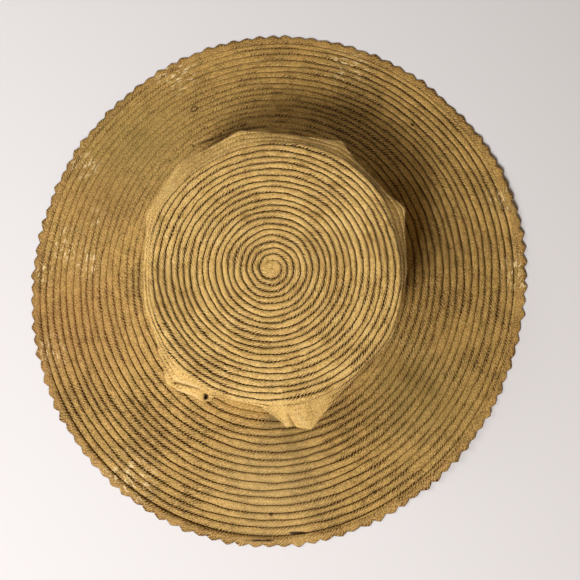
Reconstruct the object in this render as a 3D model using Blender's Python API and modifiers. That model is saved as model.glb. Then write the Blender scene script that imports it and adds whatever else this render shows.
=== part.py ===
# Sun hat of sewn straw braid, standing on its brim, with a soft crown that has buckled into facets.
# Units are metres. Z is up, X is the wearer's side and Y runs front to back. The floor is z = 0.

import bpy
import bmesh
from math import cos, sin, pi, radians, hypot, dist

MM = 0.001

# One layer of braid with its sewn overlap, and the clearance kept between neighbouring pieces.
# Rows are about SEAM_ROW_WIDTH wide where pieces meet.
STRAW_THICKNESS = 2.0 * MM
SEAM_GAP = 0.3 * MM
SEAM_ROW_WIDTH = 5.0 * MM
WELD_DISTANCE = 0.01 * MM

# The braid winds out from the crown's middle. Places along a meridian are counted in its rows.
TIP_ROWS = 21
TIP_SEAM_ROW = 18.6
FOOT_ROW = 35.4
ROOT_ROW = 36
BRIM_START_ROW = 37.2
BRIM_SLOPE_ROW = 41
EDGE_ROW = 55

# Crown tip, the flat top.
TIP_ROW_WIDTH = 4.45 * MM
TIP_CENTRE = (-3.7 * MM, -3.0 * MM)
TIP_HEIGHT = 95.0 * MM
TIP_EDGE_SAG = 1.5 * MM

# Head opening, where the crown wall meets the brim. Its plane leans, higher at the back left.
ROOT_CENTRE = (-3.0 * MM, 5.0 * MM)
ROOT_HALF_WIDTH = 86.0 * MM
ROOT_HALF_LENGTH = 96.0 * MM
ROOT_HEIGHT = 24.0 * MM
ROOT_LEAN = 9.0 * MM
ROOT_LEAN_AZIMUTH = 115

# Brim outline, a circle and the lobes that bend it.
BRIM_CENTRE = (-0.9 * MM, 0)
BRIM_RADIUS = 207.5 * MM
BRIM_LOBES = [
    {"count": 1, "azimuth": 56, "amount": 0.4 * MM},
    {"count": 2, "azimuth": 72, "amount": 5.3 * MM},
    {"count": 3, "azimuth": 8, "amount": 0.7 * MM},
    {"count": 4, "azimuth": 9, "amount": 0.7 * MM},
]
BRIM_FLARE = 1.4
BRIM_WAVES = [
    {"count": 3, "azimuth": 15, "height": 1.6 * MM},
    {"count": 5, "azimuth": 40, "height": 0.9 * MM},
]
BRIM_CREASE = {"azimuth": 327, "half_width": 9, "depth": 2.6 * MM}
# Where the brim's edge lifts off the table.
BRIM_LIFTS = [
    {"azimuth": 22, "half_width": 26, "height": 4.0 * MM},
    {"azimuth": 150, "half_width": 22, "height": 3.0 * MM},
    {"azimuth": 318, "half_width": 24, "height": 5.0 * MM},
]

# Edge braid, sewn round the brim, with points along its outer side.
EDGE_BRAID_WIDTH = 7.0 * MM
TOOTH_COUNT = 116
TOOTH_DEPTH = 2.6 * MM

# Buckled crown shoulder, one row for each corner or hollow, counter-clockwise from the right.
# fold: radius of the crease round the flat top. radius: how far out the shoulder stands.
# drop: how far it hangs under a plain shoulder.
# dent: how deep the wall is pushed in between this corner and the next.
SHOULDER_CORNERS = [
    {"azimuth": 0, "fold": 92.5 * MM, "radius": 97 * MM, "drop": 3 * MM, "dent": 3 * MM},
    {"azimuth": 16, "fold": 91.5 * MM, "radius": 99 * MM, "drop": 4 * MM, "dent": 1 * MM},
    {"azimuth": 26, "fold": 91.5 * MM, "radius": 107 * MM, "drop": 5 * MM, "dent": 1 * MM},
    {"azimuth": 33, "fold": 94 * MM, "radius": 100 * MM, "drop": 2 * MM, "dent": 9 * MM},
    {"azimuth": 56, "fold": 94 * MM, "radius": 102 * MM, "drop": 2 * MM, "dent": 1 * MM},
    {"azimuth": 62, "fold": 93 * MM, "radius": 108.5 * MM, "drop": 5 * MM, "dent": 7 * MM},
    {"azimuth": 90, "fold": 91.5 * MM, "radius": 101 * MM, "drop": 1 * MM, "dent": 2 * MM},
    {"azimuth": 103, "fold": 89.5 * MM, "radius": 105.5 * MM, "drop": 2 * MM, "dent": 4 * MM},
    {"azimuth": 118, "fold": 88.5 * MM, "radius": 101.5 * MM, "drop": 4 * MM, "dent": 3 * MM},
    {"azimuth": 130, "fold": 89 * MM, "radius": 105.5 * MM, "drop": 6 * MM, "dent": 4 * MM},
    {"azimuth": 155, "fold": 90 * MM, "radius": 100 * MM, "drop": 2 * MM, "dent": 4 * MM},
    {"azimuth": 181, "fold": 86.5 * MM, "radius": 91.5 * MM, "drop": 2 * MM, "dent": 2 * MM},
    {"azimuth": 196, "fold": 88 * MM, "radius": 94.5 * MM, "drop": 2 * MM, "dent": 2 * MM},
    {"azimuth": 210, "fold": 91 * MM, "radius": 95.5 * MM, "drop": 4 * MM, "dent": 2 * MM},
    {"azimuth": 227, "fold": 95 * MM, "radius": 111 * MM, "drop": 14 * MM, "dent": 1 * MM},
    {"azimuth": 243, "fold": 95.5 * MM, "radius": 105.5 * MM, "drop": 13 * MM, "dent": 0 * MM},
    {"azimuth": 246, "fold": 95.5 * MM, "radius": 97 * MM, "drop": 3 * MM, "dent": 7 * MM},
    {"azimuth": 266, "fold": 95 * MM, "radius": 97 * MM, "drop": 4 * MM, "dent": 0 * MM},
    {"azimuth": 275, "fold": 96 * MM, "radius": 111 * MM, "drop": 18 * MM, "dent": 0 * MM},
    {"azimuth": 284, "fold": 96 * MM, "radius": 117 * MM, "drop": 21 * MM, "dent": 1 * MM},
    {"azimuth": 296, "fold": 95.5 * MM, "radius": 101.5 * MM, "drop": 5 * MM, "dent": 6 * MM},
    {"azimuth": 319, "fold": 94.5 * MM, "radius": 95.5 * MM, "drop": 2 * MM, "dent": 2 * MM},
    {"azimuth": 331, "fold": 95.5 * MM, "radius": 98.5 * MM, "drop": 2 * MM, "dent": 6 * MM},
]
CORNER_ROUNDING = 1.5
SHOULDER_DEPTH = 7 * MM

# The flat top runs this many rows inside the fold before the surface turns down to the shoulder.
FLAT_ENDS = [6, 3]
FOLD_EDGE = 0.3
FACET_SHARE = 0.3
UNDER_DEPTH = 20 * MM
UNDER_HANG = 0.9

# The wall's meridian from under the shoulder to the foot.
# centre: share of the way from the tip's centre to the head opening's. inward: share from the shoulder's
# radius to the opening's. stand: how far it stands outside that. hung and pushed: shares of drop and dent.
# up: share of the wall's height.
WALL_LEVELS = [
    {"centre": 0.2, "inward": 0, "stand": -3 * MM, "hung": 0.2, "pushed": 0.5, "up": 1},
    {"centre": 0.5, "inward": 0.6, "stand": 0 * MM, "hung": 0, "pushed": 1, "up": 0.62},
    {"centre": 0.8, "inward": 1, "stand": 0.5 * MM, "hung": 0, "pushed": 0.4, "up": 0.26},
    {"centre": 1, "inward": 1, "stand": 0.8 * MM, "hung": 0, "pushed": 0, "up": 0.07},
]

# Mesh resolution: columns round the hat, and the rows where each piece has a ring of points.
COLUMNS = 100
TIP_RINGS = [0, 9, 15.5, TIP_SEAM_ROW]
WALL_RINGS = [TIP_SEAM_ROW, 19.4, 20.3, 21, 21.8, 22.8, 24.2, 26, 28.2, 30.8, 33.4, 35, 35.8, ROOT_ROW]
BRIM_RINGS = [ROOT_ROW, 36.2, 37.2, 39.5, 43, 47.5, 52, EDGE_ROW]

STRAW_COLOUR = (0.42, 0.27, 0.09, 1)
EDGE_COLOUR = (0.47, 0.31, 0.12, 1)
STRAW_ROUGHNESS = 0.7


def blend(a, b, share):
    return a + (b - a) * share


def turn_between(azimuth, other):
    """Degrees from other to azimuth, the short way round."""
    return (azimuth - other + 180) % 360 - 180


def hump(azimuth, middle, half_width):
    """A smooth hump that is 1 at middle and exactly 0 past half_width."""
    away = abs(turn_between(azimuth, middle)) / half_width
    return cos(away * pi / 2) ** 2 if away < 1 else 0.0


def corners_around(azimuth):
    """The corner before this azimuth, the one after it, and the angle's share of the way between."""
    for corner, following in zip(SHOULDER_CORNERS, SHOULDER_CORNERS[1:] + SHOULDER_CORNERS[:1]):
        span = (following["azimuth"] - corner["azimuth"]) % 360
        past = (azimuth - corner["azimuth"]) % 360
        if past < span:
            return corner, following, past / span
    return SHOULDER_CORNERS[-1], SHOULDER_CORNERS[0], 0.0


def sharp_shoulder(azimuth):
    """Radius of the straight facet between two corners."""
    corner, following, share = corners_around(azimuth)
    span = radians((following["azimuth"] - corner["azimuth"]) % 360)
    a, b = corner["radius"], following["radius"]
    return a * b * sin(span) / (a * sin(share * span) + b * sin((1 - share) * span))


def shoulder(azimuth):
    steps = (-1, -0.5, 0, 0.5, 1)
    return sum(sharp_shoulder(azimuth + step * CORNER_ROUNDING) for step in steps) / len(steps)


def between_corners(azimuth, column):
    """A column of the table, running smoothly from each corner to the next."""
    corner, following, share = corners_around(azimuth)
    return blend(corner[column], following[column], share * share * (3 - 2 * share))


def dent(azimuth):
    corner, _, share = corners_around(azimuth)
    return corner["dent"] * sin(pi * share) ** 2


def root_radius(azimuth):
    a = radians(azimuth)
    return 1 / hypot(cos(a) / ROOT_HALF_WIDTH, sin(a) / ROOT_HALF_LENGTH)


def root_height(azimuth):
    return ROOT_HEIGHT + ROOT_LEAN * cos(radians(azimuth - ROOT_LEAN_AZIMUTH))


def brim_radius(azimuth):
    lobes = (row["amount"] * cos(row["count"] * radians(azimuth - row["azimuth"])) for row in BRIM_LOBES)
    return BRIM_RADIUS + sum(lobes)


def edge_lift(azimuth):
    return sum(row["height"] * hump(azimuth, row["azimuth"], row["half_width"]) for row in BRIM_LIFTS)


def around(centre, radius, azimuth, height):
    a = radians(azimuth)
    return (centre[0] + radius * cos(a), centre[1] + radius * sin(a), height)


def tip_point(azimuth, row):
    sag = TIP_EDGE_SAG * (row / TIP_ROWS) ** 5
    return around(TIP_CENTRE, row * TIP_ROW_WIDTH, azimuth, TIP_HEIGHT - sag)


def brim_point(azimuth, row):
    out = (row - ROOT_ROW) / (EDGE_ROW - ROOT_ROW)
    root = around(ROOT_CENTRE, root_radius(azimuth), azimuth, 0)
    edge = around(BRIM_CENTRE, brim_radius(azimuth) - EDGE_BRAID_WIDTH, azimuth, 0)
    waves = sum(wave["height"] * cos(wave["count"] * radians(azimuth - wave["azimuth"])) for wave in BRIM_WAVES)
    crease = BRIM_CREASE["depth"] * hump(azimuth, BRIM_CREASE["azimuth"], BRIM_CREASE["half_width"])
    height = STRAW_THICKNESS / 2 + edge_lift(azimuth) * out ** 3
    height += (root_height(azimuth) - STRAW_THICKNESS / 2) * (1 - out) ** BRIM_FLARE
    height += (waves - crease) * sin(pi * out) ** 2
    return blend(root[0], edge[0], out), blend(root[1], edge[1], out), height


def fold_row(azimuth):
    return between_corners(azimuth, "fold") / TIP_ROW_WIDTH


def wall_stations(azimuth):
    """The meridian's points, each with its row: over the fold, down the wall and out to the brim.
    Rows are evenly wide from the fold to the foot."""

    def centre(share):
        return tuple(blend(a, b, share) for a, b in zip(TIP_CENTRE, ROOT_CENTRE))

    top, hang, pushed = shoulder(azimuth), between_corners(azimuth, "drop"), dent(azimuth)
    root, foot, fold = root_radius(azimuth), root_height(azimuth), fold_row(azimuth)
    wall = TIP_HEIGHT - UNDER_DEPTH - UNDER_HANG * hang - foot
    edge = tip_point(azimuth, fold - FOLD_EDGE)
    corner = around(centre(0), top, azimuth, TIP_HEIGHT - SHOULDER_DEPTH - hang)
    line = [edge, tuple(blend(a, b, FACET_SHARE) for a, b in zip(edge, corner)), corner]
    for level in WALL_LEVELS:
        radius = blend(top, root, level["inward"]) + level["stand"]
        radius -= level["hung"] * hang + level["pushed"] * pushed
        line.append(around(centre(level["centre"]), radius, azimuth, foot + level["up"] * wall))
    lengths = [dist(a, b) for a, b in zip(line, line[1:])]
    rows = [blend(fold - FOLD_EDGE, FOOT_ROW, sum(lengths[:i]) / sum(lengths)) for i in range(len(line))]
    flat = [(fold - back, tip_point(azimuth, fold - back)) for back in FLAT_ENDS]
    low = [(row, brim_point(azimuth, row)) for row in (BRIM_START_ROW, BRIM_SLOPE_ROW)]
    return flat + list(zip(rows, line)) + low


def through_stations(stations, row):
    """A smooth curve through the stations, each at its own row."""
    last = len(stations) - 3
    place = next((i for i in range(1, last) if row < stations[i + 1][0]), last)
    (r0, p0), (r1, p1), (r2, p2), (r3, p3) = stations[place - 1:place + 3]
    span = r2 - r1
    share = (row - r1) / span
    point = []
    for a, b, c, d in zip(p0, p1, p2, p3):
        leaving = (c - a) / (r2 - r0) * span
        arriving = (d - b) / (r3 - r1) * span
        point.append(
            b * (2 * share ** 3 - 3 * share ** 2 + 1)
            + leaving * (share ** 3 - 2 * share ** 2 + share)
            + c * (3 * share ** 2 - 2 * share ** 3)
            + arriving * (share ** 3 - share ** 2)
        )
    return tuple(point)


def hat_point(azimuth, row):
    if row <= fold_row(azimuth) - FLAT_ENDS[-1]:
        return tip_point(azimuth, row)
    if row <= BRIM_START_ROW:
        return through_stations(wall_stations(azimuth), row)
    return brim_point(azimuth, row)


def straw_material(name, colour):
    material = bpy.data.materials.new(name)
    material.use_nodes = True
    shader = material.node_tree.nodes["Principled BSDF"]
    shader.inputs["Base Color"].default_value = colour
    shader.inputs["Roughness"].default_value = STRAW_ROUGHNESS
    shader.inputs["Metallic"].default_value = 0
    return material


def straw_sheet(name, columns, point_at, rings, material, collection):
    """A ring-shaped sheet, laid out as a grid from the outermost ring inwards, then given its thickness."""
    bm = bmesh.new()
    bmesh.ops.create_grid(bm, x_segments=columns, y_segments=len(rings) - 1, size=0.5)
    outer_first = sorted(rings, reverse=True)
    for vertex in bm.verts:
        column = round((vertex.co.x + 0.5) * columns) % columns
        ring = round((vertex.co.y + 0.5) * (len(rings) - 1))
        vertex.co = point_at(column, outer_first[ring])
    bmesh.ops.remove_doubles(bm, verts=bm.verts, dist=WELD_DISTANCE)
    mesh = bpy.data.meshes.new(name)
    bm.to_mesh(mesh)
    bm.free()
    mesh.materials.append(material)
    sheet = bpy.data.objects.new(name, mesh)
    collection.objects.link(sheet)
    thickness = sheet.modifiers.new("Thickness", "SOLIDIFY")
    thickness.thickness = STRAW_THICKNESS
    thickness.offset = 0
    mesh.shade_smooth()
    return sheet


def rings_with_gap(rings):
    """The same rings, with half the seam gap taken off at each sewn end."""
    half_gap = SEAM_GAP / 2 / SEAM_ROW_WIDTH
    first = rings[0] + half_gap if rings[0] > 0 else 0
    return [first] + rings[1:-1] + [rings[-1] - half_gap]


def hat_column(column, row):
    return hat_point(360 * column / COLUMNS, row)


def edge_braid_point(column, row):
    """Row 0 is the sewn inner side and row 1 the toothed one, with a point at every second column."""
    azimuth = 360 * column / (2 * TOOTH_COUNT)
    inner = brim_radius(azimuth) - EDGE_BRAID_WIDTH + SEAM_GAP
    outer = brim_radius(azimuth) + (TOOTH_DEPTH / 2 if column % 2 else -TOOTH_DEPTH / 2)
    return around(BRIM_CENTRE, blend(inner, outer, row), azimuth, STRAW_THICKNESS / 2 + edge_lift(azimuth))


def build_hat():
    for old in list(bpy.data.objects):
        bpy.data.objects.remove(old)
    hat = bpy.data.collections.new("sun_hat")
    bpy.context.scene.collection.children.link(hat)
    straw = straw_material("straw_braid", STRAW_COLOUR)
    edge_straw = straw_material("edge_straw", EDGE_COLOUR)
    for name, rings in (("crown_tip", TIP_RINGS), ("crown_wall", WALL_RINGS), ("brim", BRIM_RINGS)):
        straw_sheet(name, COLUMNS, hat_column, rings_with_gap(rings), straw, hat)
    straw_sheet("edge_braid", 2 * TOOTH_COUNT, edge_braid_point, [0, 1], edge_straw, hat)


build_hat()
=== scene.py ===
import math

import bmesh
import bpy
import numpy as np
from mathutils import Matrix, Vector


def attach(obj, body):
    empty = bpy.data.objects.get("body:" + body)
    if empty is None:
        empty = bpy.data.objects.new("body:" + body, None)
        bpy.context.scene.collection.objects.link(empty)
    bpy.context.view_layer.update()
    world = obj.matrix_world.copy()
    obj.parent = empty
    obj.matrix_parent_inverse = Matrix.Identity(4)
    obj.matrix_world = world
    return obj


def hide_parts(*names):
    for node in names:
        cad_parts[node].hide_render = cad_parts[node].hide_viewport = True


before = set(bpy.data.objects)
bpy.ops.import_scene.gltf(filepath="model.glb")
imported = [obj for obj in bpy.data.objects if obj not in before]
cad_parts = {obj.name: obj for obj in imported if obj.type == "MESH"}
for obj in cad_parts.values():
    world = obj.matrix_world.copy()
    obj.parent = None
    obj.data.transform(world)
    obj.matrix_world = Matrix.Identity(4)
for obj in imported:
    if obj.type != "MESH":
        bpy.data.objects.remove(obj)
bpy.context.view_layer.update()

mm = 0.001


# The hat's surface, in mm. A place on it is an azimuth, in degrees from +X, and a row,
# counted along the braid from the crown's middle.

crown = {
    "tipCentre": (-3.7, -3.0),
    "tipHeight": 95.0,
    "tipRowWidth": 4.45,
    "tipRows": 21,
    "edgeSag": 1.5,                  # how far the top has sunk by its last row
    "flatEnds": (6, 3),              # rows before the fold, both still on the flat top
    "foldEdge": 0.3,                 # rows before the fold, where the shoulder starts
    "shoulderBends": (0.25, 0.85),   # shares of the way from there to the corner
    "shoulderDepth": 7.0,
    "cornerRounding": 0.8,           # degrees
    "underBend": 0.15,               # share of the way from the corner to the wall's top
    "underDepth": 20.0,
    "underHang": 0.9,                # share of the corner's drop that the wall's top follows
    "footRow": 35.4,
}

# One line for each corner or hollow of the buckled shoulder, counter-clockwise from the right.
# fold is the radius of the crease round the flat top, dent how far the wall is pushed in after the corner.
shoulderCorners = [
    {"azimuth": 0, "fold": 92.5, "radius": 97, "drop": 3, "dent": 3},
    {"azimuth": 16, "fold": 91.5, "radius": 99, "drop": 4, "dent": 1},
    {"azimuth": 26, "fold": 91.5, "radius": 107, "drop": 5, "dent": 1},
    {"azimuth": 33, "fold": 94, "radius": 100, "drop": 2, "dent": 9},
    {"azimuth": 56, "fold": 94, "radius": 102, "drop": 2, "dent": 1},
    {"azimuth": 62, "fold": 93, "radius": 108.5, "drop": 5, "dent": 7},
    {"azimuth": 90, "fold": 91.5, "radius": 101, "drop": 1, "dent": 2},
    {"azimuth": 103, "fold": 89.5, "radius": 105.5, "drop": 2, "dent": 4},
    {"azimuth": 118, "fold": 88.5, "radius": 101.5, "drop": 4, "dent": 3},
    {"azimuth": 130, "fold": 89, "radius": 105.5, "drop": 6, "dent": 4},
    {"azimuth": 155, "fold": 90, "radius": 100, "drop": 2, "dent": 4},
    {"azimuth": 181, "fold": 86.5, "radius": 91.5, "drop": 2, "dent": 2},
    {"azimuth": 196, "fold": 88, "radius": 94.5, "drop": 2, "dent": 2},
    {"azimuth": 210, "fold": 91, "radius": 95.5, "drop": 4, "dent": 2},
    {"azimuth": 227, "fold": 95, "radius": 111, "drop": 14, "dent": 1},
    {"azimuth": 243, "fold": 95.5, "radius": 105.5, "drop": 13, "dent": 0},
    {"azimuth": 246, "fold": 95.5, "radius": 97, "drop": 3, "dent": 7},
    {"azimuth": 266, "fold": 95, "radius": 97, "drop": 4, "dent": 0},
    {"azimuth": 275, "fold": 96, "radius": 111, "drop": 18, "dent": 0},
    {"azimuth": 284, "fold": 96, "radius": 117, "drop": 21, "dent": 1},
    {"azimuth": 296, "fold": 95.5, "radius": 101.5, "drop": 5, "dent": 6},
    {"azimuth": 319, "fold": 94.5, "radius": 95.5, "drop": 2, "dent": 2},
    {"azimuth": 331, "fold": 95.5, "radius": 98.5, "drop": 2, "dent": 6},
]

# Levels of the wall, from its top under the shoulder down to its foot. height is a share of the wall.
# centre and toFoot are shares of the way from the shoulder's centre and radius to the foot's.
# out, in mm, is added to the radius, and shares of the corner's drop and of the dent are taken off it.
wallLevels = [
    {"height": 1.0, "centre": 0.2, "toFoot": 0.0, "out": -3.0, "drop": 0.2, "dent": 0.5},
    {"height": 0.62, "centre": 0.5, "toFoot": 0.6, "out": 0.0, "drop": 0.0, "dent": 1.0},
    {"height": 0.26, "centre": 0.8, "toFoot": 1.0, "out": 0.5, "drop": 0.0, "dent": 0.4},
    {"height": 0.07, "centre": 1.0, "toFoot": 1.0, "out": 0.8, "drop": 0.0, "dent": 0.0},
]

headOpening = {
    "centre": (-3.0, 5.0),
    "halfWidth": 86.0,
    "halfLength": 96.0,
    "height": 24.0,
    "lean": 9.0,
    "leanAzimuth": 115,
    "row": 36,
}

brimShape = {
    "centre": (-0.9, 0.0),
    "radius": 207.5,
    "flare": 1.4,
    "crease": {"azimuth": 327, "halfWidth": 9, "depth": 2.6},
    "startRow": 37.2,
    "slopeRow": 41,
    "edgeRow": 55,
    "edgeBraidWidth": 7.0,
}
brimLobes = [
    {"count": 1, "azimuth": 56, "size": 0.4},
    {"count": 2, "azimuth": 72, "size": 5.3},
    {"count": 3, "azimuth": 8, "size": 0.7},
    {"count": 4, "azimuth": 9, "size": 0.7},
]
brimWaves = [
    {"count": 3, "azimuth": 15, "size": 1.6},
    {"count": 5, "azimuth": 40, "size": 0.9},
]
brimLifts = [
    {"azimuth": 22, "halfWidth": 26, "height": 4.0},
    {"azimuth": 150, "halfWidth": 22, "height": 3.0},
    {"azimuth": 318, "halfWidth": 24, "height": 5.0},
]

halfThick = 1.0   # of the straw, 2 mm through


def blend(a, b, share):
    return a + (b - a) * share


def hump(azimuth, middle, halfWidth):
    away = np.abs((azimuth - middle + 180) % 360 - 180) / halfWidth
    return np.where(away < 1, np.cos(np.minimum(away, 1) * math.pi / 2) ** 2, 0.0)


def wavesRound(waves, azimuth):
    total = 0
    for wave in waves:
        total = total + wave["size"] * np.cos(wave["count"] * np.radians(azimuth - wave["azimuth"]))
    return total


def cornersAround(azimuth):
    starts = cornerValue("azimuth")
    before = np.searchsorted(starts, azimuth % 360, side="right") - 1
    after = (before + 1) % len(starts)
    span = (starts[after] - starts[before]) % 360
    return before, after, ((azimuth - starts[before]) % 360) / span, np.radians(span)


def cornerValue(key):
    return np.array([corner[key] for corner in shoulderCorners], float)


def sharpShoulder(azimuth):
    # straight from corner to corner, seen from above
    before, after, share, span = cornersAround(azimuth)
    a = cornerValue("radius")[before]
    b = cornerValue("radius")[after]
    return a * b * np.sin(span) / (a * np.sin(share * span) + b * np.sin((1 - share) * span))


def shoulder(azimuth):
    steps = (-1, -0.5, 0, 0.5, 1)
    return sum(sharpShoulder(azimuth + step * crown["cornerRounding"]) for step in steps) / len(steps)


def betweenCorners(azimuth, key):
    before, after, share, _ = cornersAround(azimuth)
    value = cornerValue(key)
    return blend(value[before], value[after], share * share * (3 - 2 * share))


def dent(azimuth):
    before, _, share, _ = cornersAround(azimuth)
    return cornerValue("dent")[before] * np.sin(math.pi * share) ** 2


def rootRadius(azimuth):
    a = np.radians(azimuth)
    return 1 / np.hypot(np.cos(a) / headOpening["halfWidth"], np.sin(a) / headOpening["halfLength"])


def rootHeight(azimuth):
    lean = headOpening["lean"] * np.cos(np.radians(azimuth - headOpening["leanAzimuth"]))
    return headOpening["height"] + lean


def brimRadius(azimuth):
    return brimShape["radius"] + wavesRound(brimLobes, azimuth)


def edgeLift(azimuth):
    return sum(lift["height"] * hump(azimuth, lift["azimuth"], lift["halfWidth"]) for lift in brimLifts)


def around(centre, radius, azimuth, height):
    a = np.radians(azimuth)
    x, y = centre[0] + radius * np.cos(a), centre[1] + radius * np.sin(a)
    return np.stack([x, y, height + 0 * a], axis=-1)


def tipPoint(azimuth, row):
    sag = crown["edgeSag"] * (row / crown["tipRows"]) ** 5
    return around(crown["tipCentre"], row * crown["tipRowWidth"], azimuth, crown["tipHeight"] - sag)


def brimPoint(azimuth, row):
    # a flared cone from the head opening to the edge, with waves and a crease that fade out at both
    out = (row - headOpening["row"]) / (brimShape["edgeRow"] - headOpening["row"])
    root = around(headOpening["centre"], rootRadius(azimuth), azimuth, 0)
    edge = around(brimShape["centre"], brimRadius(azimuth) - brimShape["edgeBraidWidth"], azimuth, 0)
    crease = brimShape["crease"]
    sunk = crease["depth"] * hump(azimuth, crease["azimuth"], crease["halfWidth"])
    point = blend(root, edge, out[..., None])
    point[..., 2] = halfThick + edgeLift(azimuth) * out ** 3
    point[..., 2] += (rootHeight(azimuth) - halfThick) * np.maximum(1 - out, 0) ** brimShape["flare"]
    point[..., 2] += (wavesRound(brimWaves, azimuth) - sunk) * np.sin(math.pi * out) ** 2
    return point


def foldRow(azimuth):
    return betweenCorners(azimuth, "fold") / crown["tipRowWidth"]


def wallLine(azimuth):
    # the wall's points at an azimuth, from the fold down to the foot
    top, root, foot = shoulder(azimuth), rootRadius(azimuth), rootHeight(azimuth)
    drop, pushed = betweenCorners(azimuth, "drop"), dent(azimuth)
    wall = crown["tipHeight"] - crown["underDepth"] - crown["underHang"] * drop - foot

    def centre(share):
        return tuple(blend(a, b, share) for a, b in zip(crown["tipCentre"], headOpening["centre"]))

    edge = tipPoint(azimuth, foldRow(azimuth) - crown["foldEdge"])
    corner = around(centre(0), top, azimuth, crown["tipHeight"] - crown["shoulderDepth"] - drop)
    bends = [blend(edge, corner, share) for share in crown["shoulderBends"]]
    levels = []
    for level in wallLevels:
        inwards = level["drop"] * drop + level["dent"] * pushed
        radius = blend(top, root, level["toFoot"]) + level["out"] - inwards
        levels.append(around(centre(level["centre"]), radius, azimuth, foot + level["height"] * wall))
    return [edge, *bends, corner, blend(corner, levels[0], crown["underBend"]), *levels]


def wallStations(azimuth):
    # the meridian's points, each with its row; rows are evenly wide from the fold to the foot
    fold = foldRow(azimuth)
    line = wallLine(azimuth)
    gone = [np.zeros_like(azimuth)]
    for a, b in zip(line, line[1:]):
        gone.append(gone[-1] + np.linalg.norm(b - a, axis=-1))
    rows = [blend(fold - crown["foldEdge"], crown["footRow"], length / gone[-1]) for length in gone]
    flat = [(fold - back, tipPoint(azimuth, fold - back)) for back in crown["flatEnds"]]
    lowRows = [row + 0 * azimuth for row in (brimShape["startRow"], brimShape["slopeRow"])]
    return flat + list(zip(rows, line)) + [(row, brimPoint(azimuth, row)) for row in lowRows]


def cornerRow(azimuth):
    # the corner comes after the flat ends, the fold's edge and the bends
    beforeCorner = len(crown["flatEnds"]) + 1 + len(crown["shoulderBends"])
    return wallStations(azimuth)[beforeCorner][0]


def wallPoint(azimuth, row):
    # a smooth curve through the stations
    stations = wallStations(azimuth)
    point = np.zeros(azimuth.shape + (3,))
    for place in range(1, len(stations) - 2):
        (r0, p0), (r1, p1), (r2, p2), (r3, p3) = [(r[:, None], p) for r, p in stations[place - 1:place + 3]]
        here = (row >= r1[:, 0]) & (row <= r2[:, 0])
        span = r2 - r1
        share = (row[:, None] - r1) / span
        leaving = (p2 - p0) / (r2 - r0) * span
        arriving = (p3 - p1) / (r3 - r1) * span
        curve = p1 * (2 * share ** 3 - 3 * share ** 2 + 1) + leaving * (share ** 3 - 2 * share ** 2 + share)
        curve = curve + p2 * (3 * share ** 2 - 2 * share ** 3) + arriving * (share ** 3 - share ** 2)
        point[here] = curve[here]
    return point


def hatPoint(azimuth, row):
    point = np.zeros(azimuth.shape + (3,))
    onTip = row < foldRow(azimuth) - crown["flatEnds"][-1]
    onBrim = row > brimShape["startRow"]
    for here, pointOf in [(onTip, tipPoint), (onBrim, brimPoint), (~onTip & ~onBrim, wallPoint)]:
        if here.any():
            point[here] = pointOf(azimuth[here], row[here])
    return point


def outwards(azimuth, row):
    # the way out of the straw, from points a little to each side, and straight up in the very middle
    rowStep, azimuthStep, middle = 0.12, 0.4, 0.6
    down = hatPoint(azimuth, row + rowStep) - hatPoint(azimuth, np.maximum(row - rowStep, 0))
    across = hatPoint(azimuth + azimuthStep, row) - hatPoint(azimuth - azimuthStep, row)
    normal = np.cross(down, across)
    normal = normal / np.maximum(np.linalg.norm(normal, axis=-1, keepdims=True), 1e-9)
    return np.where((row < middle)[..., None], np.array([0.0, 0.0, 1.0]), normal)


# Braid. Each piece is one run of the spiral, a closed ribbon with a domed top and plaited edges.

braid = {
    "plait": 2.7,             # mm along the braid from one plait to the next
    "stepsPerPlait": 4,
    "rowHeights": (0.75, 1.1),   # lowest and highest row, as shares of the section's height
    "heightTurn": 4.27,       # radians a row, from higher to lower rows and back
    "flatHeight": 0.85,       # mm, where the rows are flattened
    "flatSeam": 0.8,          # mm, the groove there
    "firstTurn": (1.5, 0.12),    # rows, where the first turn ends, and over how much
    "lastRow": 55.0,
    "lastWidth": 0.02,        # share that is left of the last turn's width
    "steadyRows": 0.6,        # at the end, without wander
    "weld": 0.002,            # mm
}

# The ribbon's section: across in rows, up in mm, and how far each point swings and rises with the plait.
braidSection = [
    {"across": -0.52, "up": -0.8, "swing": 0.03, "rise": 0.1},
    {"across": -0.45, "up": 0.65, "swing": 0.025, "rise": 0.12},
    {"across": -0.27, "up": 1.1, "swing": 0.02, "rise": 0.14},
    {"across": 0.0, "up": 1.25, "swing": 0.0, "rise": 0.0},
    {"across": 0.27, "up": 1.1, "swing": 0.02, "rise": -0.14},
    {"across": 0.45, "up": 0.65, "swing": 0.025, "rise": -0.12},
    {"across": 0.52, "up": -0.8, "swing": 0.03, "rise": -0.1},
    {"across": 0.3, "up": -0.95, "swing": 0.0, "rise": 0.0},
    {"across": -0.3, "up": -0.95, "swing": 0.0, "rise": 0.0},
]
seamFrom = 0.5   # rows from the ribbon's middle

# How the sewing strays: waves round the hat that move on by perRow radians from row to row.
# size is in rows, and from fullFrom on the wave is at its full size.
sewingWaves = [
    {"count": 3, "perRow": 1.7, "start": 0.0, "size": 0.065, "fullFrom": 4},
    {"count": 7, "perRow": -0.9, "start": 1.3, "size": 0.0455, "fullFrom": 4},
    {"count": 17, "perRow": 2.3, "start": 0.0, "size": 0.0325, "fullFrom": 16},
    {"count": 29, "perRow": -3.1, "start": 0.0, "size": 0.0325, "fullFrom": 16},
    {"count": 48, "perRow": 5.3, "start": 1.5708, "size": 0.013, "fullFrom": 16},
    {"count": 58, "perRow": 3.3, "start": 1.5708, "size": -0.013, "fullFrom": 16},
]

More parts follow.
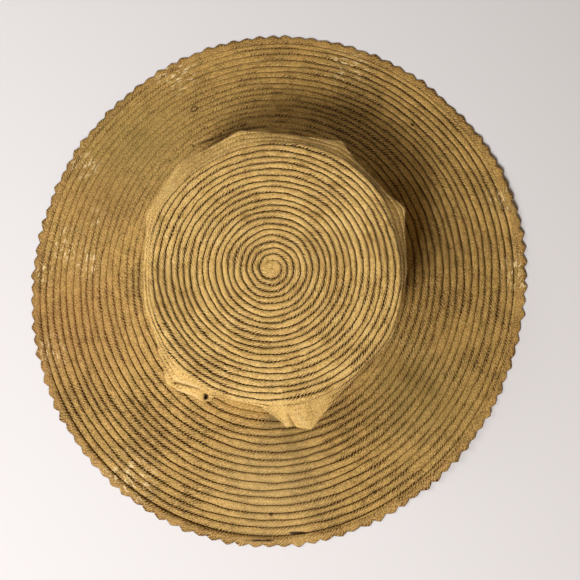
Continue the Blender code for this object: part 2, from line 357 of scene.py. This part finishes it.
# Facets, where the shoulder is stretched from the fold to a corner and its rows are pulled flat.
facets = {
    "shelf": (4, 10),      # mm from fold to corner, where rows start to flatten and are flattest
    "flattest": 0.96,
    "levelShare": 0.65,    # how flat they are with a corner that doesn't drop
    "fullDrop": 30,        # mm of drop that would add a whole share
    "fadeIn": 0.4,         # rows
    "pastCorner": 1.2,
    "fadeOut": 0.8,
    "kept": {"azimuth": 216, "halfWidth": 20, "share": 0.8},   # where rows stand all the same
}
crownButton = {"from": 0.9, "over": 0.7, "least": 0.1}   # rows; the smooth start of the spiral

# Places where the rows are worn or pressed flat. share is how much of their relief is gone.
flatPlaces = [
    {"name": "brim behind left", "azimuth": 138, "halfWidth": 80, "rows": (36.5, 57), "share": 0.58},
    {"name": "foot of the wall in front", "azimuth": 259, "halfWidth": 19, "rows": (34, 39.2),
     "share": 0.65},
    {"name": "brim in front right", "azimuth": 325, "halfWidth": 40, "rows": (37, 57), "share": 0.3},
]

# Creases, ridges and slits: a line of places, each an azimuth and a row, pressed in by depth, in mm.
# Ridges have a negative depth.
creases = [
    {"name": "fold of the left lump", "line": [(229.5, 24.6), (238.5, 23.0)], "width": 1.3, "depth": 3.0},
    {"name": "ridge over it", "line": [(228.0, 23.6), (238.0, 22.2)], "width": 1.5, "depth": -0.9},
    {"name": "ridge under it", "line": [(231.5, 25.2), (239.5, 24.3)], "width": 1.3, "depth": -0.9},
    {"name": "hole beside it", "line": [(242.2, 23.4), (242.8, 24.6)], "width": 1.3, "depth": 6.0},
    {"name": "crease of the right lump", "line": [(276.3, 23.8), (278.2, 26.2)], "width": 0.9, "depth": 1.8},
    {"name": "ridge left of it", "line": [(274.2, 24.3), (275.6, 26.0)], "width": 1.6, "depth": -0.6},
    {"name": "ridge right of it", "line": [(279.0, 23.2), (282.0, 25.6)], "width": 2.4, "depth": -0.6},
    {"name": "slit behind", "line": [(122.5, 41.8), (114.5, 41.0), (104.5, 40.6), (94, 40.5)],
     "width": 0.9, "depth": 3.5},
    {"name": "gap under the crown behind", "line": [(126.0, 40.4), (118.5, 39.5), (110.0, 39.2)],
     "width": 0.9, "depth": 2.5},
    {"name": "nick in the brim", "line": [(132.6, 42.5), (131.8, 42.7)], "width": 0.9, "depth": 2.0},
]
# how creases are measured: about how wide rows are, and how far out crown and brim lie, in mm
creaseScale = {"rowWidth": 5.0, "crownRadius": 100, "brimRadius": 125, "brimFromRow": 30}


def wander(azimuth, row):
    stray = 0
    for wave in sewingWaves:
        turn = wave["count"] * np.radians(azimuth) + wave["perRow"] * row + wave["start"]
        stray = stray + wave["size"] * np.sin(turn) * np.clip(row / wave["fullFrom"], 0, 1)
    return stray


def rowsStand(azimuth, row):
    # 1 where the rows stand up, close to 0 where they are pulled flat
    narrow, wide = facets["shelf"]
    kept = facets["kept"]
    shelf = betweenCorners(azimuth, "radius") - betweenCorners(azimuth, "fold")
    pulled = np.clip((shelf - narrow) / (wide - narrow), 0, 1)
    byDrop = facets["levelShare"] + betweenCorners(azimuth, "drop") / facets["fullDrop"]
    pulled = pulled * np.clip(byDrop, 0, 1)
    pulled = pulled * (1 - kept["share"] * hump(azimuth, kept["azimuth"], kept["halfWidth"]))
    end = cornerRow(azimuth) + facets["pastCorner"]
    inside = np.clip((row - foldRow(azimuth)) / facets["fadeIn"], 0, 1)
    inside = inside * np.clip((end - row) / facets["fadeOut"], 0, 1)
    stands = 1 - facets["flattest"] * inside * pulled
    stands = stands * np.clip((row - crownButton["from"]) / crownButton["over"], crownButton["least"], 1)
    for flat in flatPlaces:
        first, last = flat["rows"]
        within = np.clip(row - first, 0, 1) * np.clip(last - row, 0, 1)
        stands = stands * (1 - flat["share"] * within * hump(azimuth, flat["azimuth"], flat["halfWidth"]))
    return stands


def pressedIn(azimuth, row):
    # each crease is a soft notch round its line
    depth = np.zeros_like(row)
    for crease in creases:
        near = np.full_like(row, np.inf)
        for (a0, r0), (a1, r1) in zip(crease["line"], crease["line"][1:]):
            onCrown = r0 < creaseScale["brimFromRow"]
            degree = math.radians(1) * creaseScale["crownRadius" if onCrown else "brimRadius"]
            x = ((azimuth - a0 + 180) % 360 - 180) * degree
            y = (row - r0) * creaseScale["rowWidth"]
            dx, dy = (a1 - a0) * degree, (r1 - r0) * creaseScale["rowWidth"]
            share = np.clip((x * dx + y * dy) / (dx * dx + dy * dy), 0, 1)
            near = np.minimum(near, np.hypot(x - share * dx, y - share * dy))
        depth += crease["depth"] * np.exp(-(near / crease["width"]) ** 2)
    return depth


def gridPiece(name, columns, rings):
    # a flat grid, whose points are then put in place by column and ring
    bm = bmesh.new()
    bmesh.ops.create_grid(bm, x_segments=columns, y_segments=rings, size=0.5)
    mesh = bpy.data.meshes.new(name)
    bm.to_mesh(mesh)
    bm.free()
    flat = np.zeros(len(mesh.vertices) * 3)
    mesh.vertices.foreach_get("co", flat)
    flat = flat.reshape(-1, 3)
    column = np.rint((flat[:, 0] + 0.5) * columns).astype(int)
    ring = np.rint((flat[:, 1] + 0.5) * rings).astype(int)
    return mesh, column, ring


def sectionAt(section, ring):
    # each column of a section's table, with a value for every point of the piece
    return {key: np.array([point[key] for point in section])[ring % len(section)] for key in section[0]}


def giveMap(mesh, along, across):
    corner = np.zeros(len(mesh.loops), int)
    mesh.loops.foreach_get("vertex_index", corner)
    layer = mesh.uv_layers.new(name="braid")
    layer.data.foreach_set("uv", np.stack([along[corner], across[corner]], axis=-1).ravel())


def closePiece(mesh, material):
    # weld the seam, close both ends and turn every face outwards
    bm = bmesh.new()
    bm.from_mesh(mesh)
    bmesh.ops.remove_doubles(bm, verts=bm.verts, dist=braid["weld"] * mm)
    openEdges = [edge for edge in bm.edges if edge.is_boundary]
    if openEdges:
        bmesh.ops.holes_fill(bm, edges=openEdges, sides=0)
    bmesh.ops.recalc_face_normals(bm, faces=bm.faces)
    bm.to_mesh(mesh)
    bm.free()
    mesh.shade_smooth()
    mesh.materials.append(material)
    piece = bpy.data.objects.new(mesh.name, mesh)
    bpy.context.scene.collection.objects.link(piece)
    print(piece.name, sum(len(face.vertices) - 2 for face in mesh.polygons), "triangles")
    return piece


def spiralLength(firstRow, lastRow):
    # a row for every degree of the spiral, which winds clockwise seen from above, and the length up to it
    rows = np.linspace(firstRow, lastRow, int((lastRow - firstRow) * 360))
    line = hatPoint(-360 * rows, np.minimum(rows, braid["lastRow"]))
    return rows, np.concatenate([[0], np.cumsum(np.linalg.norm(np.diff(line, axis=0), axis=1))])


def ribbonPlace(section, row, phase):
    # the first turn closes over the middle, and the last narrows to nothing against the edge braid
    end, over = braid["firstTurn"]
    firstTurn = 1 - np.clip((row - end) / over, 0, 1)
    halfRow = max(point["across"] for point in braidSection)
    offset = section["across"] + section["swing"] * np.sin(phase)
    offset = np.where(offset < 0, offset * blend(1.0, row / halfRow, firstTurn), offset)
    place = np.clip(row + offset, 0, braid["lastRow"] + braid["lastWidth"] * section["across"])
    return place + wander(-360 * row, place) * (place < braid["lastRow"] - braid["steadyRows"])


def ribbonHeight(section, row, stands, phase):
    # rows differ a little in height, and flattened ones are even from seam to seam
    domed = section["up"] > 0
    share = blend(*braid["rowHeights"], np.sin(braid["heightTurn"] * row + 1) ** 2)
    up = np.where(domed, blend(braid["flatHeight"], share * section["up"], stands), section["up"])
    up = up + stands * section["rise"] * np.sin(phase)
    seam = np.abs(section["across"]) > seamFrom
    return np.where(seam, blend(braid["flatSeam"], section["up"], stands), up)


def braidRun(name, firstRow, lastRow, material):
    # columns evenly spaced by length along the spiral
    rows, length = spiralLength(firstRow, lastRow)
    columns = int(length[-1] * braid["stepsPerPlait"] / braid["plait"])
    mesh, column, ring = gridPiece(name, columns, len(braidSection))
    section = sectionAt(braidSection, ring)
    along = length[-1] * column / columns
    row = np.interp(along, length, rows)
    azimuth = -360 * row
    phase = 2 * math.pi * along / braid["plait"]
    place = ribbonPlace(section, row, phase)
    stands = rowsStand(azimuth, place)
    pressed = pressedIn(azimuth, place)
    up = ribbonHeight(section, row, stands, phase) - pressed
    position = hatPoint(azimuth, place) + outwards(azimuth, place) * up[:, None]
    mesh.vertices.foreach_set("co", (position * mm).ravel())
    # the depth is kept for the material's painted shade in creases and painted highlight on ridges
    mesh.attributes.new("pressed", "FLOAT", "POINT").data.foreach_set("value", pressed)
    giveMap(mesh, along * mm, section["across"] * stands)
    return closePiece(mesh, material)


# Edge braid, wider and flatter, with points along its outer side.

edgeBraid = {
    "teeth": 116,
    "stepsPerTooth": 12,
    "toothDepth": 2.8,          # mm
    "toothSizes": (0.5, 1.2),   # shares of it
    "toothLean": 0.16,          # share of its width
    "toothRound": 0.35,
    "tuckedUnder": 0.6,         # mm, under the brim's last row
    "mapAcross": (-0.5, 0.47),  # its sides, as places across a row; they reach the groove colour, which darkens the points' outline and the inner border
    "seed": 4,
}

# across is a share of its width, up in mm
edgeSection = [
    {"across": 0.0, "up": 0.1},
    {"across": 0.06, "up": 0.85},
    {"across": 0.25, "up": 1.05},
    {"across": 0.5, "up": 1.1},
    {"across": 0.75, "up": 1.0},
    {"across": 0.93, "up": 0.7},
    {"across": 1.0, "up": 0.0},
    {"across": 0.93, "up": -0.7},
    {"across": 0.5, "up": -0.9},
    {"across": 0.06, "up": -0.85},
]


def toothedEdge(material):
    steps, teeth = edgeBraid["stepsPerTooth"], edgeBraid["teeth"]
    mesh, column, ring = gridPiece("edge_braid_points", teeth * steps, len(edgeSection))
    section = sectionAt(edgeSection, ring)
    azimuth = -360.0 * column / (teeth * steps)
    rng = np.random.default_rng(edgeBraid["seed"])
    size = rng.uniform(*edgeBraid["toothSizes"], teeth)
    lean = rng.uniform(-edgeBraid["toothLean"], edgeBraid["toothLean"], teeth)
    tooth = (column // steps) % teeth
    share = (column % steps) / steps
    peak = 0.5 + lean[tooth]
    point = np.where(share < peak, share / peak, (1 - share) / (1 - peak))
    point = blend(point, np.sin(math.pi * share), edgeBraid["toothRound"])
    inner = brimRadius(azimuth) - brimShape["edgeBraidWidth"] - edgeBraid["tuckedUnder"]
    outer = brimRadius(azimuth) + edgeBraid["toothDepth"] * (point * size[tooth] - 0.5)
    radius = blend(inner, outer, section["across"])
    position = around(brimShape["centre"], radius, azimuth, halfThick + edgeLift(azimuth))
    position[:, 2] += section["up"]
    mesh.vertices.foreach_set("co", (position * mm).ravel())
    length = 2 * math.pi * brimShape["radius"]
    giveMap(mesh, length * column / (teeth * steps) * mm, blend(*edgeBraid["mapAcross"], section["across"]))
    return closePiece(mesh, material)


# Materials. Sizes are in mm along the braid or over the hat, unless a note says otherwise.

# Straw braid, plaited and sewn row to row: golden and matt, with a faint waxy sheen along the strands,
# and with painted shade that darkens the grooves between the rows.
crownStraw = {
    "crest": "#f0ca7b",
    "flank": "#ba8a3e",
    "olive": "#b69a48",
    "rosy": "#c99c66",
    "shine": "#f5d88a",
    # the pale colour of rubbed flakes, also used as a painted highlight on raised folds
    "flakeAndHighlight": "#e6cc93",
    "stain": "#9a722e",
    "bleached": "#ecca80",
    # the colour of the painted shade in the grooves between the rows
    "groove": "#2b1402",
    # the colour of painted shade between the plaits and in deep creases, and of dark specks
    "gap": "#402408",
    "roughness": 0.6,
    "sheen": 0.2,
    "plaitSpacing": 2.7,
    "plaitSlant": -2.8,       # plaits, from one side of the row to the other
    "waverLength": 3.3333333,
    "waver": 1.6,             # plaits
    "strandWidth": 0.8,
    "roughLength": 22,        # of the stretches where plaits stand out
    "tintLength": 10,
    "patchSize": 41.666667,
    "blotchSize": 6.6666667,
    "fleckSize": 1.0,
    "fleck": 0.42,            # strength
    "flakeLength": 5.8823529,
    "grooveFrom": 0.455,      # share of a row from its middle
    "grooveFade": 0.04,
    "bumpDepth": 0.7,
}
# The same braid on the brim, handled and aged: duller, browner and more mottled, part of that
# darkness being painted shade, and with darker painted shade in its grooves.
brimStraw = dict(
    crownStraw, crest="#d2aa5e", flank="#9c7636", olive="#9c8840", rosy="#b0834a", shine="#e6be72",
    stain="#7a5f2c", bleached="#d6ac60", groove="#3a2006", fleck=0.6)
# The edge braid: the dullest, with a little paler painted shade in its grooves.
edgeStraw = dict(brimStraw, crest="#c49a54", flank="#87622c", groove="#44280c")

# How patterns tint the straw, in this order. A tint starts where the pattern passes from,
# and is strongest at to.
strawTints = [
    {"pattern": "blotches", "from": 0.52, "to": 0.7, "strength": 0.5, "tint": "stain"},
    {"pattern": "blotches", "from": 0.46, "to": 0.3, "strength": 0.5, "tint": "bleached"},
    {"pattern": "tints", "from": 0.5, "to": 0.75, "strength": 0.6, "tint": "olive"},
    {"pattern": "tints", "from": 0.45, "to": 0.25, "strength": 0.5, "tint": "rosy"},
    {"pattern": "patches", "from": 0.52, "to": 0.68, "strength": 0.35, "tint": "stain"},
    {"pattern": "patches", "from": 0.46, "to": 0.32, "strength": 0.3, "tint": "bleached"},
]

# What time has left on the hat: stains, spots and worn places; and painted shade in the hole, beside the
# right lump and next to the crown in front right. Places and radii are in mm.
# hollow is the radius of the clear middle of a ring.
marks = [
    # painted shade in the hole
    {"name": "hole by the left lump", "at": (-51.4, -94.1, 73), "stretch": 0.75,
     "radius": 1.3, "soft": 0.5, "ragged": 1, "colour": "#120800", "strength": 1.0},
    {"name": "olive stain", "at": (-120, 112, 6),
     "radius": 8, "soft": 60, "ragged": 60, "colour": "#85733a", "strength": 0.4},
    {"name": "bleached front", "at": (-5, -165, 4),
     "radius": 15, "soft": 45, "ragged": 25, "colour": "#d6b674", "strength": 0.35},
    # an olive tinge of the straw, with painted shade where the brim meets the crown
    {"name": "olive shade in front right", "at": (112, -92, 4),
     "radius": 18, "soft": 42, "ragged": 35, "colour": "#8f7b40", "strength": 0.3},
    {"name": "brown shade on the left", "at": (-150, 62, 5),
     "radius": 10, "soft": 38, "ragged": 35, "colour": "#85612e", "strength": 0.35},
    # painted shadow of the right lump on the brim, beside it and under it
    {"name": "shade beside the right lump", "at": (-3, -112, 10),
     "radius": 3, "soft": 8, "ragged": 8, "colour": "#65522a", "strength": 0.6},
    {"name": "shade under the right lump", "at": (9, -129, 10),
     "radius": 4, "soft": 11, "ragged": 12, "colour": "#75602e", "strength": 0.35},
    {"name": "frayed end in front", "at": (14, -201.6, 1), "stretch": 7,
     "radius": 0.3, "soft": 0.6, "ragged": 4, "colour": "#1f1002", "strength": 0.95},
    {"name": "frayed end in front left", "at": (-14, -207.4, 1), "stretch": 9,
     "radius": 0.7, "soft": 0.8, "ragged": 6, "colour": "#2c1804", "strength": 0.95},
    {"name": "reddish tinge", "at": (-170, -35, 4),
     "radius": 12, "soft": 60, "ragged": 50, "colour": "#a06c3a", "strength": 0.32},
    {"name": "ring mark", "at": (-71, 143.5, 12), "hollow": 1.9, "hollowSoft": 0.6,
     "radius": 2.6, "soft": 1.0, "ragged": 1, "colour": "#3f2708", "strength": 0.8},
    {"name": "spot behind right", "at": (112, 132, 6),
     "radius": 1.0, "soft": 0.8, "ragged": 1, "colour": "#2c1a05", "strength": 0.9},
    {"name": "spot in front right", "at": (77, -170, 2),
     "radius": 1.0, "soft": 1.0, "ragged": 1, "colour": "#2c1a05", "strength": 0.8},
    {"name": "spot in front", "at": (-6, -187, 3),
     "radius": 1.0, "soft": 1.0, "ragged": 1, "colour": "#2c1a05", "strength": 0.8},
]
# where the straw's skin is rubbed off in small pale flakes
rubbed = [
    {"at": (-163, 97, 5), "radius": 6, "soft": 10},
    {"at": (-176, 31, 3), "radius": 9, "soft": 9},
    {"at": (-157, 14, 4), "radius": 7, "soft": 9},
    {"at": (-149, 52, 5), "radius": 4, "soft": 7},
    {"at": (-192, 8, 3), "radius": 5, "soft": 7},
    {"at": (-187, -60, 3), "radius": 9, "soft": 10},
    {"at": (-87, 177, 3), "radius": 8, "soft": 14},
    {"at": (60, 184, 3), "radius": 7, "soft": 14},
    {"at": (184, 68, 4), "radius": 4, "soft": 12},
    {"at": (202, 6, 2), "radius": 8, "soft": 14},
    {"at": (-120, -160, 3), "radius": 8, "soft": 20},
]


def linear(hexColour):
    parts = [int(hexColour[i:i + 2], 16) / 255 for i in (1, 3, 5)]
    return [c / 12.92 if c <= 0.04045 else ((c + 0.055) / 1.055) ** 2.4 for c in parts] + [1.0]


def addNode(tree, kind, inputs=None, result=0, **settings):
    # adds a node, sets or links its inputs, and gives its result
    node = tree.nodes.new(kind)
    for name, value in settings.items():
        setattr(node, name, value)
    for socket, value in (inputs or {}).items():
        if isinstance(value, bpy.types.NodeSocket):
            tree.links.new(value, node.inputs[socket])
        else:
            node.inputs[socket].default_value = value
    return node.outputs[result]


def braidNoise(tree, length, perRow, detail, roughness=0.5, seed=0.0):
    # noise that keeps to the braid, with cells of this length along it
    uv = addNode(tree, "ShaderNodeUVMap", uv_map="braid")
    scaled = {0: uv, 1: (1000 / length, perRow, 0), 2: (0, 0, seed)}
    onBraid = addNode(tree, "ShaderNodeVectorMath", scaled, operation="MULTIPLY_ADD")
    noise = {"Vector": onBraid, "Scale": 1.0, "Detail": detail, "Roughness": roughness}
    return addNode(tree, "ShaderNodeTexNoise", noise)


def hatNoise(tree, size, detail, roughness=0.5):
    # noise over the whole hat, whatever the rows
    place = addNode(tree, "ShaderNodeTexCoord", result="Object")
    noise = {"Vector": place, "Scale": 1000 / size, "Detail": detail, "Roughness": roughness}
    return addNode(tree, "ShaderNodeTexNoise", noise)


def tinted(tree, colour, tint, pattern, low=0.0, high=1.0, strength=1.0):
    # the colour, with a tint that grows as the pattern goes from low to high
    share = addNode(tree, "ShaderNodeMapRange", {0: pattern, 1: low, 2: high, 3: 0.0, 4: strength})
    return addNode(tree, "ShaderNodeMix", {0: share, 6: colour, 7: linear(tint)}, 2, data_type="RGBA")


def plaitPattern(tree, look):
    # rope-like plaits that slant across the row, 0 on top of them and 1 between
    uv = addNode(tree, "ShaderNodeUVMap", uv_map="braid")
    perPlait = (1000 / look["plaitSpacing"], look["plaitSlant"], 0)
    even = addNode(tree, "ShaderNodeVectorMath", {0: uv, 1: perPlait}, "Value", operation="DOT_PRODUCT")
    waver = braidNoise(tree, look["waverLength"], 1.2, 2.0)
    count = addNode(tree, "ShaderNodeMath", {0: waver, 1: look["waver"], 2: even},
                    operation="MULTIPLY_ADD")
    turn = addNode(tree, "ShaderNodeMath", {0: count, 1: 2 * math.pi}, operation="MULTIPLY")
    wave = addNode(tree, "ShaderNodeMath", {0: turn}, operation="SINE")
    return addNode(tree, "ShaderNodeMapRange", {0: wave, 1: -1.0, 2: 1.0})


def strawPatterns(tree, look):
    uv = addNode(tree, "ShaderNodeUVMap", uv_map="braid")
    across = addNode(tree, "ShaderNodeSeparateXYZ", {0: uv}, result="Y")
    patches = hatNoise(tree, look["patchSize"], 4.0, roughness=0.6)
    stretches = braidNoise(tree, look["roughLength"], 0.8, 3.0, seed=4.0)
    rough = addNode(tree, "ShaderNodeMath", {0: stretches, 1: patches}, operation="ADD")
    return {
        "side": addNode(tree, "ShaderNodeMath", {0: across}, operation="ABSOLUTE"),
        "plaits": plaitPattern(tree, look),
        "rough": addNode(tree, "ShaderNodeMapRange", {0: rough, 1: 0.9, 2: 1.06}),
        "strands": braidNoise(tree, look["strandWidth"], 3.0, 3.0, roughness=0.65),
        "tints": braidNoise(tree, look["tintLength"], 1.5, 3.0, seed=9.0),
        "flakes": braidNoise(tree, look["flakeLength"], 3.5, 2.0, seed=20.0),
        "patches": patches,
        "blotches": hatNoise(tree, look["blotchSize"], 3.0),
        "flecks": hatNoise(tree, look["fleckSize"], 1.0),
        "pressed": addNode(tree, "ShaderNodeAttribute", result="Fac", attribute_name="pressed"),
    }


def strawColour(tree, look, patterns):
    colour = tinted(tree, linear(look["flank"]), look["crest"], patterns["strands"], 0.28, 0.68)
    for layer in strawTints:
        pattern, low, high = patterns[layer["pattern"]], layer["from"], layer["to"]
        colour = tinted(tree, colour, look[layer["tint"]], pattern, low, high, layer["strength"])
    colour = tinted(tree, colour, look["gap"], patterns["flecks"], 0.52, 0.66, look["fleck"])
    return tinted(tree, colour, look["shine"], patterns["flecks"], 0.46, 0.32, look["fleck"])


def plaitGapShade(tree, patterns):
    # painted shade in the gaps between the plaits, which open towards the sides of a row, more in rough
    # stretches
    towardsSide = addNode(tree, "ShaderNodeMapRange", {0: patterns["side"], 1: 0.0, 2: 0.3})
    between = addNode(tree, "ShaderNodeMapRange", {0: patterns["plaits"], 1: 0.5, 2: 0.8})
    opened = addNode(tree, "ShaderNodeMapRange", {0: patterns["rough"], 3: 0.15, 4: 1.0})
    gaps = addNode(tree, "ShaderNodeMath", {0: towardsSide, 1: between}, operation="MULTIPLY")
    return addNode(tree, "ShaderNodeMath", {0: gaps, 1: opened}, operation="MULTIPLY")


def rowGrooveShade(tree, look, patterns):
    # painted shade in the groove between rows; its edge is notched by plaits and strands, and plaits bridge
    # it in rough stretches
    notched = addNode(tree, "ShaderNodeMath", {0: patterns["strands"], 1: 0.08, 2: patterns["side"]},
                      operation="MULTIPLY_ADD")
    notched = addNode(tree, "ShaderNodeMath", {0: patterns["plaits"], 1: 0.03, 2: notched},
                      operation="MULTIPLY_ADD")
    start = look["grooveFrom"]
    groove = addNode(tree, "ShaderNodeMapRange", {0: notched, 1: start, 2: start + look["grooveFade"]})
    bridge = addNode(tree, "ShaderNodeMapRange", {0: patterns["plaits"], 1: 0.4, 2: 0.2, 4: 0.7})
    bridged = addNode(tree, "ShaderNodeMath", {0: patterns["rough"], 1: bridge}, operation="MULTIPLY")
    left = addNode(tree, "ShaderNodeMath", {0: 1.0, 1: bridged}, operation="SUBTRACT")
    return addNode(tree, "ShaderNodeMath", {0: groove, 1: left}, operation="MULTIPLY")


def distanceTo(tree, spot):
    # height counts for little here, so that a mark reaches down into its crease
    scale = (1 / spot.get("stretch", 1), 1, 0.1)
    centre = tuple(part * share * mm for part, share in zip(spot["at"], scale))
    place = addNode(tree, "ShaderNodeTexCoord", result="Object")
    level = addNode(tree, "ShaderNodeVectorMath", {0: place, 1: scale}, operation="MULTIPLY")
    ends = {0: level, 1: centre}
    return addNode(tree, "ShaderNodeVectorMath", ends, result="Value", operation="DISTANCE")


def wearAndPaintedLight(tree, look, patterns, colour):
    # raised folds get a painted highlight and deep creases painted shade, then come the flakes and the marks
    colour = tinted(tree, colour, look["flakeAndHighlight"], patterns["pressed"], -0.25, -0.9, 0.45)
    colour = tinted(tree, colour, look["gap"], patterns["pressed"], 0.6, 2.4, 0.85)
    flakes = addNode(tree, "ShaderNodeMapRange", {0: patterns["flakes"], 1: 0.56, 2: 0.62})
    for spot in rubbed:
        inner, outer = spot["radius"] * mm, (spot["radius"] + spot["soft"]) * mm
        near = addNode(tree, "ShaderNodeMapRange", {0: distanceTo(tree, spot), 1: outer, 2: inner})
        shown = addNode(tree, "ShaderNodeMath", {0: near, 1: flakes}, operation="MULTIPLY")
        colour = tinted(tree, colour, look["flakeAndHighlight"], shown)
    uneven = addNode(tree, "ShaderNodeMath", {0: patterns["patches"], 1: 0.5}, operation="SUBTRACT")
    for mark in marks:
        inner, outer = mark["radius"] * mm, (mark["radius"] + mark["soft"]) * mm
        ragged = {0: uneven, 1: mark["ragged"] * mm, 2: distanceTo(tree, mark)}
        away = addNode(tree, "ShaderNodeMath", ragged, operation="MULTIPLY_ADD")
        shown = addNode(tree, "ShaderNodeMapRange", {0: away, 1: outer, 2: inner})
        if "hollow" in mark:
            hollow, clear = mark["hollow"] * mm, (mark["hollow"] - mark["hollowSoft"]) * mm
            ring = addNode(tree, "ShaderNodeMapRange", {0: away, 1: clear, 2: hollow})
            shown = addNode(tree, "ShaderNodeMath", {0: shown, 1: ring}, operation="MULTIPLY")
        colour = tinted(tree, colour, mark["colour"], shown, strength=mark["strength"])
    return colour


def strawRelief(tree, look, patterns):
    # the fine grain of the strands, sunk between the plaits, most at the sides of a row
    steep = addNode(tree, "ShaderNodeMapRange", {0: patterns["rough"], 3: 0.5, 4: 1.7})
    ropes = addNode(tree, "ShaderNodeMath", {0: patterns["plaits"], 1: steep}, operation="MULTIPLY")
    ropes = addNode(tree, "ShaderNodeMath", {0: ropes, 1: patterns["side"]}, operation="MULTIPLY")
    grain = addNode(tree, "ShaderNodeMath", {0: patterns["strands"], 1: 0.4}, operation="MULTIPLY")
    grain = addNode(tree, "ShaderNodeMath", {0: patterns["flecks"], 1: look["fleck"], 2: grain},
                    operation="MULTIPLY_ADD")
    height = addNode(tree, "ShaderNodeMath", {0: grain, 1: ropes}, operation="SUBTRACT")
    bump = {"Height": height, "Strength": 0.8, "Distance": look["bumpDepth"] * mm}
    return addNode(tree, "ShaderNodeBump", bump)


def strawMaterial(name, look):
    material = bpy.data.materials.new(name)
    material.use_nodes = True
    tree = material.node_tree
    shader = tree.nodes["Principled BSDF"]
    shader.inputs["Roughness"].default_value = look["roughness"]
    shader.inputs["Specular IOR Level"].default_value = look["sheen"]
    patterns = strawPatterns(tree, look)
    colour = strawColour(tree, look, patterns)
    # painted shade between the plaits, then in the grooves between the rows
    colour = tinted(tree, colour, look["gap"], plaitGapShade(tree, patterns))
    colour = tinted(tree, colour, look["groove"], rowGrooveShade(tree, look, patterns))
    colour = wearAndPaintedLight(tree, look, patterns, colour)
    tree.links.new(colour, shader.inputs["Base Color"])
    tree.links.new(strawRelief(tree, look, patterns), shader.inputs["Normal"])
    return material


print("straw materials")
straws = {
    "crown": strawMaterial("sewn straw braid", crownStraw),
    "brim": strawMaterial("aged and shaded straw braid of the brim", brimStraw),
    "edge": strawMaterial("worn straw edge braid", edgeStraw),
}

print("braid")
runs = [
    {"name": "crown_tip_braid", "node": "crown_tip", "rows": (0.5, 18.5), "straw": "crown"},
    {"name": "crown_shoulder_braid", "node": "crown_wall", "rows": (18.5, 27.5), "straw": "crown"},
    {"name": "crown_wall_braid", "node": "crown_wall", "rows": (27.5, 35.5), "straw": "crown"},
    {"name": "brim_root_braid", "node": "brim", "rows": (35.5, 43.5), "straw": "brim"},
    {"name": "brim_middle_braid", "node": "brim", "rows": (43.5, 50.0), "straw": "brim"},
    {"name": "brim_outer_braid", "node": "brim", "rows": (50.0, 55.5), "straw": "brim"},
]
for run in runs:
    node = run["node"]
    piece = braidRun(run["name"], *run["rows"], straws[run["straw"]])
    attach(piece, "root")
    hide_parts(node)

print("edge braid")
edge = toothedEdge(straws["edge"])
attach(edge, "root")
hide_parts("edge_braid")


# Table, light and camera. Sizes and distances are in metres.

table = {"size": 3.0, "colour": "#e2dfdb", "roughness": 0.85}


def plainTable():
    # matt pale paint, even and without a reflection
    bm = bmesh.new()
    bmesh.ops.create_grid(bm, x_segments=1, y_segments=1, size=table["size"] / 2)
    mesh = bpy.data.meshes.new("table")
    bm.to_mesh(mesh)
    bm.free()
    floor = bpy.data.objects.new("table", mesh)
    bpy.context.scene.collection.objects.link(floor)
    material = bpy.data.materials.new("matt painted board")
    material.use_nodes = True
    shader = material.node_tree.nodes["Principled BSDF"]
    shader.inputs["Base Color"].default_value = linear(table["colour"])
    shader.inputs["Roughness"].default_value = table["roughness"]
    mesh.materials.append(material)


# A window in front on the left, two far weaker ones to the left of it, and the room's warmer light.
lamps = [
    {"name": "window", "azimuth": 240, "elevation": 50, "distance": 2.4, "size": 0.5, "power": 54,
     "colour": "#f8f8ff"},
    {"name": "near window", "azimuth": 180, "elevation": 50, "distance": 1.3, "size": 0.5, "power": 3.7,
     "colour": "#f8f8ff"},
    {"name": "far window", "azimuth": 155, "elevation": 40, "distance": 1.5, "size": 0.5, "power": 3.2,
     "colour": "#f8f8ff"},
    {"name": "room", "azimuth": 290, "elevation": 50, "distance": 1.6, "size": 1.0, "power": 2.8,
     "colour": "#fff0d8"},
]
roomLight = {"colour": "#ffcf8c", "strength": 0.065}


def placeAround(target, azimuth, elevation, distance):
    a, e = math.radians(azimuth), math.radians(elevation)
    direction = Vector((math.cos(a) * math.cos(e), math.sin(a) * math.cos(e), math.sin(e)))
    return Vector(target) + distance * direction


def aim(thing, place, target):
    thing.location = place
    thing.rotation_euler = (Vector(target) - place).to_track_quat("-Z", "Y").to_euler()
    bpy.context.scene.collection.objects.link(thing)


def softLight():
    world = bpy.data.worlds.new("room")
    world.use_nodes = True
    background = world.node_tree.nodes["Background"]
    background.inputs["Color"].default_value = linear(roomLight["colour"])
    background.inputs["Strength"].default_value = roomLight["strength"]
    bpy.context.scene.world = world
    for lamp in lamps:
        light = bpy.data.lights.new(lamp["name"], "AREA")
        light.size = lamp["size"]
        light.energy = lamp["power"]
        light.color = linear(lamp["colour"])[:3]
        place = placeAround((0, 0, 0), lamp["azimuth"], lamp["elevation"], lamp["distance"])
        aim(bpy.data.objects.new(lamp["name"], light), place, (0, 0, 0))


# from almost straight above; lens and sensor in mm
view = {"target": (0.009, -0.007, 0.0), "azimuth": 270, "elevation": 83, "distance": 0.65,
        "lens": 48.8, "sensor": 36}


def photoCamera():
    data = bpy.data.cameras.new("camera")
    data.lens = view["lens"]
    data.sensor_width = view["sensor"]
    camera = bpy.data.objects.new("camera", data)
    place = placeAround(view["target"], view["azimuth"], view["elevation"], view["distance"])
    aim(camera, place, view["target"])
    bpy.context.scene.camera = camera


print("table, light and camera")
plainTable()
softLight()
photoCamera()
bpy.context.scene.view_settings.view_transform = "Standard"
